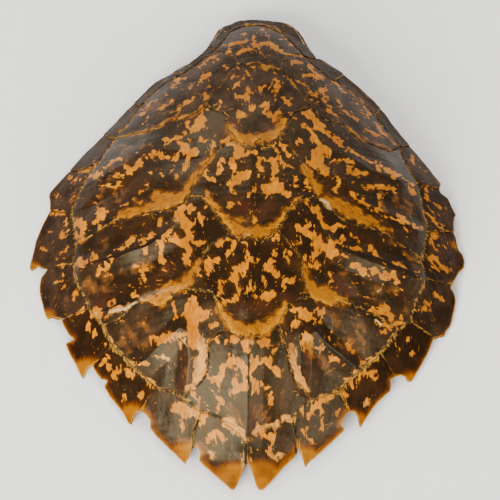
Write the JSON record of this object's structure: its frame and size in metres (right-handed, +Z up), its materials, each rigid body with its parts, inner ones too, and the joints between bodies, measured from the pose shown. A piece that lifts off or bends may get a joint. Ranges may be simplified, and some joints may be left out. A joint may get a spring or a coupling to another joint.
{
  "type": "sea turtle shell",
  "caption": "Domed sea turtle carapace, hollow below: overlapping mottled horn plates on a ribbed bony shield, with a saw-toothed rear edge.",
  "frame": {"origin": "centre of the bounding box's bottom face, on the surface the shell rests on", "axes": "+Z up through the crown of the dome, +Y towards the head end, -X the turtle's own left"},
  "size_m": [0.4936, 0.5746, 0.1318],
  "materials": {
    "horn": "gloss",
    "rim_horn": "gloss",
    "bone": "matte"
  },
  "bodies": {
    "root": {"bony_carapace": "bone", "costal_scute_left_1": "horn", "costal_scute_left_2": "horn", "costal_scute_left_3": "horn", "costal_scute_left_4": "horn", "costal_scute_right_1": "horn", "costal_scute_right_2": "horn", "costal_scute_right_3": "horn", "costal_scute_right_4": "horn", "marginal_scute_left_1": "rim_horn", "marginal_scute_left_10": "rim_horn", "marginal_scute_left_11": "rim_horn", "marginal_scute_left_2": "rim_horn", "marginal_scute_left_3": "rim_horn", "marginal_scute_left_4": "rim_horn", "marginal_scute_left_5": "rim_horn", "marginal_scute_left_6": "rim_horn", "marginal_scute_left_7": "rim_horn", "marginal_scute_left_8": "rim_horn", "marginal_scute_left_9": "rim_horn", "marginal_scute_right_1": "rim_horn", "marginal_scute_right_10": "rim_horn", "marginal_scute_right_11": "rim_horn", "marginal_scute_right_2": "rim_horn", "marginal_scute_right_3": "rim_horn", "marginal_scute_right_4": "rim_horn", "marginal_scute_right_5": "rim_horn", "marginal_scute_right_6": "rim_horn", "marginal_scute_right_7": "rim_horn", "marginal_scute_right_8": "rim_horn", "marginal_scute_right_9": "rim_horn", "nuchal_scute": "rim_horn", "supracaudal_scute_left": "rim_horn", "supracaudal_scute_right": "rim_horn", "vertebral_scute_1": "horn", "vertebral_scute_2": "horn", "vertebral_scute_3": "horn", "vertebral_scute_4": "horn", "vertebral_scute_5": "horn"}
  },
  "joints": []
}
